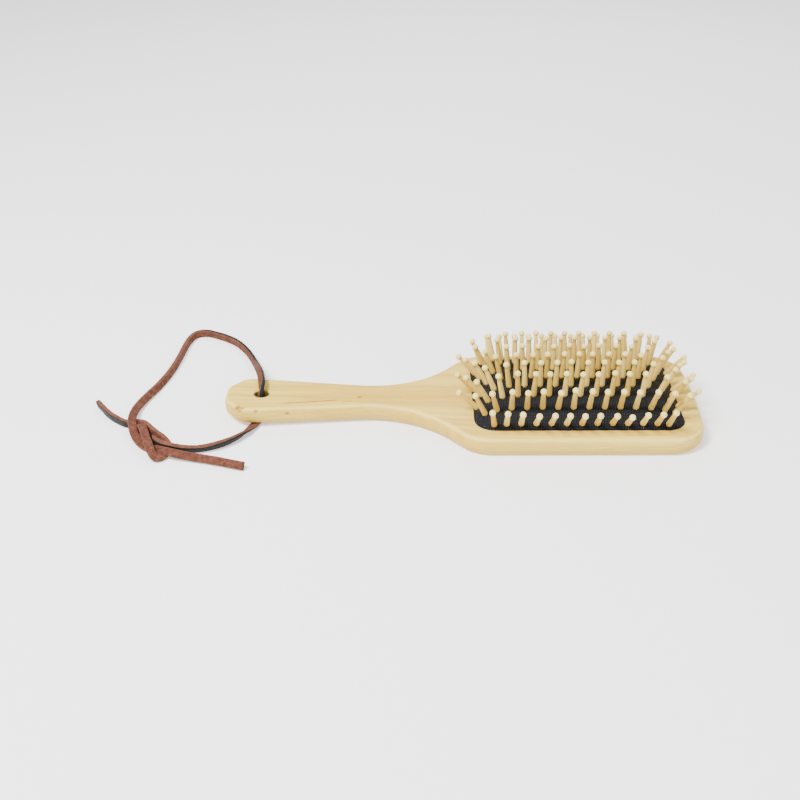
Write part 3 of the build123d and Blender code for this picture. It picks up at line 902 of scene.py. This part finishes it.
def puff_up(piece, held):
    """Lets the sheet swell under air pressure between the places where it is held, and caps the swelling."""
    scale = 10.0
    cap = 0.0004
    mesh = piece.data
    rest = np.array([vertex.co for vertex in mesh.vertices], float)
    mesh.vertices.foreach_set("co", (rest * scale).astype(np.float32).ravel())
    group = piece.vertex_groups.new(name="held")
    group.add([int(index) for index in held], 1.0, "ADD")
    cloth = piece.modifiers.new("cloth", "CLOTH")
    cloth.settings.quality = 5
    cloth.settings.mass = 0.3
    cloth.settings.tension_stiffness = 15.0
    cloth.settings.compression_stiffness = 15.0
    cloth.settings.shear_stiffness = 5.0
    cloth.settings.bending_stiffness = 0.5
    cloth.settings.use_pressure = True
    cloth.settings.uniform_pressure_force = 4.0
    cloth.settings.vertex_group_mass = "held"
    cloth.settings.effector_weights.gravity = 0.0
    cloth.collision_settings.use_collision = False
    for number in range(1, 16):
        bpy.context.scene.frame_set(number)
    shape = piece.evaluated_get(bpy.context.evaluated_depsgraph_get())
    moved = np.array([vertex.co for vertex in shape.data.vertices], float) / scale - rest
    piece.modifiers.clear()
    bpy.context.scene.frame_set(1)
    size = np.linalg.norm(moved, axis=1)
    print("facing swells by up to", round(float(size.max()) / MM, 3), "mm before the cap")
    moved *= np.minimum(1.0, cap / np.maximum(size, 1e-9))[:, None]
    moved[:, 2] = np.maximum(moved[:, 2], 0.0)
    mesh.vertices.foreach_set("co", (rest + moved).astype(np.float32).ravel())
    mesh.update()
    piece.vertex_groups.clear()


def turn_down_rim(mesh):
    """Turns the sheet's outer edge straight down, to just under the wooden face."""
    work = bmesh.new()
    work.from_mesh(mesh)
    rim = []
    for edge in work.edges:
        middle = (edge.verts[0].co + edge.verts[1].co) / 2 / MM
        if edge.is_boundary and rim_distance(middle.x - CUSHION_X, middle.y) < 0.2:
            rim.append(edge)
    for level in (FACE_Z, FACE_Z - FACING_THICKNESS):
        grown = bmesh.ops.extrude_edge_only(work, edges=rim)["geom"]
        for part in grown:
            if isinstance(part, bmesh.types.BMVert):
                part.co.z = level * MM
        rim = [part for part in grown if isinstance(part, bmesh.types.BMEdge) and part.is_boundary]
    bmesh.ops.recalc_face_normals(work, faces=work.faces)
    if sum(face.normal.z for face in work.faces) < 0:
        bmesh.ops.reverse_faces(work, faces=work.faces)
    work.to_mesh(mesh)
    work.free()
    mesh.polygons.foreach_set("use_smooth", [True] * len(mesh.polygons))


def make_membrane():
    """The rubber under the facing, in the CAD membrane's shape, its skirt held by the wood."""
    mesh = welded_copy("domed_membrane", "rubber_membrane")
    mesh.materials.append(rubber_material())
    piece = make_object("domed_membrane", mesh)
    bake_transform(piece)
    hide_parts("rubber_membrane")


# ---------------------------------------------------------------- studio


def make_studio():
    """A white floor, an even white surround and three soft lights."""
    mesh = mesh_from("floor", [(-3, -3, 0), (3, -3, 0), (3, 3, 0), (-3, 3, 0)], [(0, 1, 2, 3)], smooth=False)
    floor = make_object("floor", mesh)
    mesh.materials.append(floor_material())
    world = bpy.data.worlds.new("studio")
    world.use_nodes = True
    background = world.node_tree.nodes["Background"]
    background.inputs[0].default_value = (1.0, 1.0, 1.0, 1.0)
    background.inputs[1].default_value = 0.70
    bpy.context.scene.world = world
    add_light("key", (-0.50, -0.40, 0.95), (0.0, 0.0, 0.01), 0.42, 30.0)
    add_light("fill", (0.75, -0.65, 0.70), (0.02, 0.0, 0.01), 0.70, 7.0)
    add_light("back", (0.10, 0.85, 0.80), (0.0, 0.0, 0.01), 0.70, 6.0)


def add_light(name, place, target, size, power):
    """A round soft light at a place, turned towards a target."""
    data = bpy.data.lights.new(name, "AREA")
    data.shape = "DISK"
    data.size = size
    data.energy = power
    light = make_object(name, data)
    light.location = place
    light.rotation_mode = "QUATERNION"
    light.rotation_quaternion = (Vector(target) - Vector(place)).to_track_quat("-Z", "Y")


def give(node, material):
    """Puts the material on a CAD node that is shown as it is."""
    for slot in frame["nodes"][node].material_slots:
        slot.material = material


def main():
    """Builds the camera, the studio and the pieces with their materials."""
    make_camera()
    make_lace()
    make_studio()
    wander = random.Random(11)
    wood = pin_wood_material()
    pin_nodes = [name for name in sorted(frame["nodes"]) if name.startswith("pins_")]
    stands = []
    for node in pin_nodes:
        stands.extend(make_pins(node, wander, wood))
    make_membrane()
    make_facing(stands)
    give("wooden_body", body_wood_material())
    give("glue_line", glue_material())


main()
